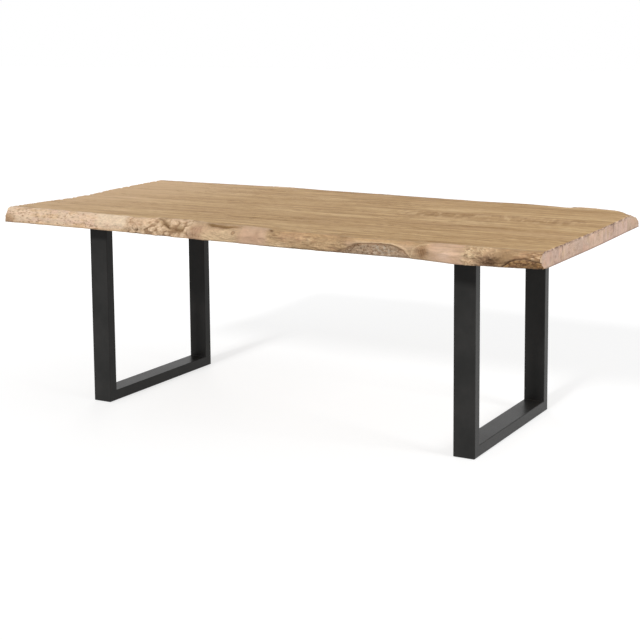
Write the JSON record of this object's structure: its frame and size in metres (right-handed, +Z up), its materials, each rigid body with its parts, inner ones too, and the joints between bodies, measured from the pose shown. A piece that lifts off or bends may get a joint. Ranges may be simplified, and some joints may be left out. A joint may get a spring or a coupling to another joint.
{
  "type": "live edge dining table",
  "caption": "Long dining table with a thick edge-glued wooden top with waney live edges, on welded U frames of black flat steel tube.",
  "frame": {"origin": "on the floor, under the middle of the top's bounding box", "axes": "+X along the table to the right, +Y from the front live edge to the back, +Z up"},
  "size_m": [2.2997, 1.22, 0.76],
  "materials": {
    "inner_boards": "matt, brushed, natural",
    "live_edge_boards": "matt, with a bare waney edge",
    "black_steel": "black powder coat, satin",
    "zinc_fasteners": "zinc plated",
    "insert_alloy": "die cast zinc alloy, dull",
    "glide_plastic": "black nylon, matt"
  },
  "bodies": {
    "root": {"front_live_edge_board": "live_edge_boards", "inner_board_1": "inner_boards", "inner_board_2": "inner_boards", "inner_board_3": "inner_boards", "inner_board_4": "inner_boards", "inner_board_5": "inner_boards", "back_live_edge_board": "live_edge_boards", "left_frame_front_post": "black_steel", "left_frame_back_post": "black_steel", "left_frame_bottom_rail": "black_steel", "left_frame_top_plate": "black_steel", "left_frame_bolts": "zinc_fasteners", "left_frame_washers": "zinc_fasteners", "left_frame_inserts": "insert_alloy", "left_frame_glides": "glide_plastic", "right_frame_front_post": "black_steel", "right_frame_back_post": "black_steel", "right_frame_bottom_rail": "black_steel", "right_frame_top_plate": "black_steel", "right_frame_bolts": "zinc_fasteners", "right_frame_washers": "zinc_fasteners", "right_frame_inserts": "insert_alloy", "right_frame_glides": "glide_plastic"}
  },
  "joints": []
}
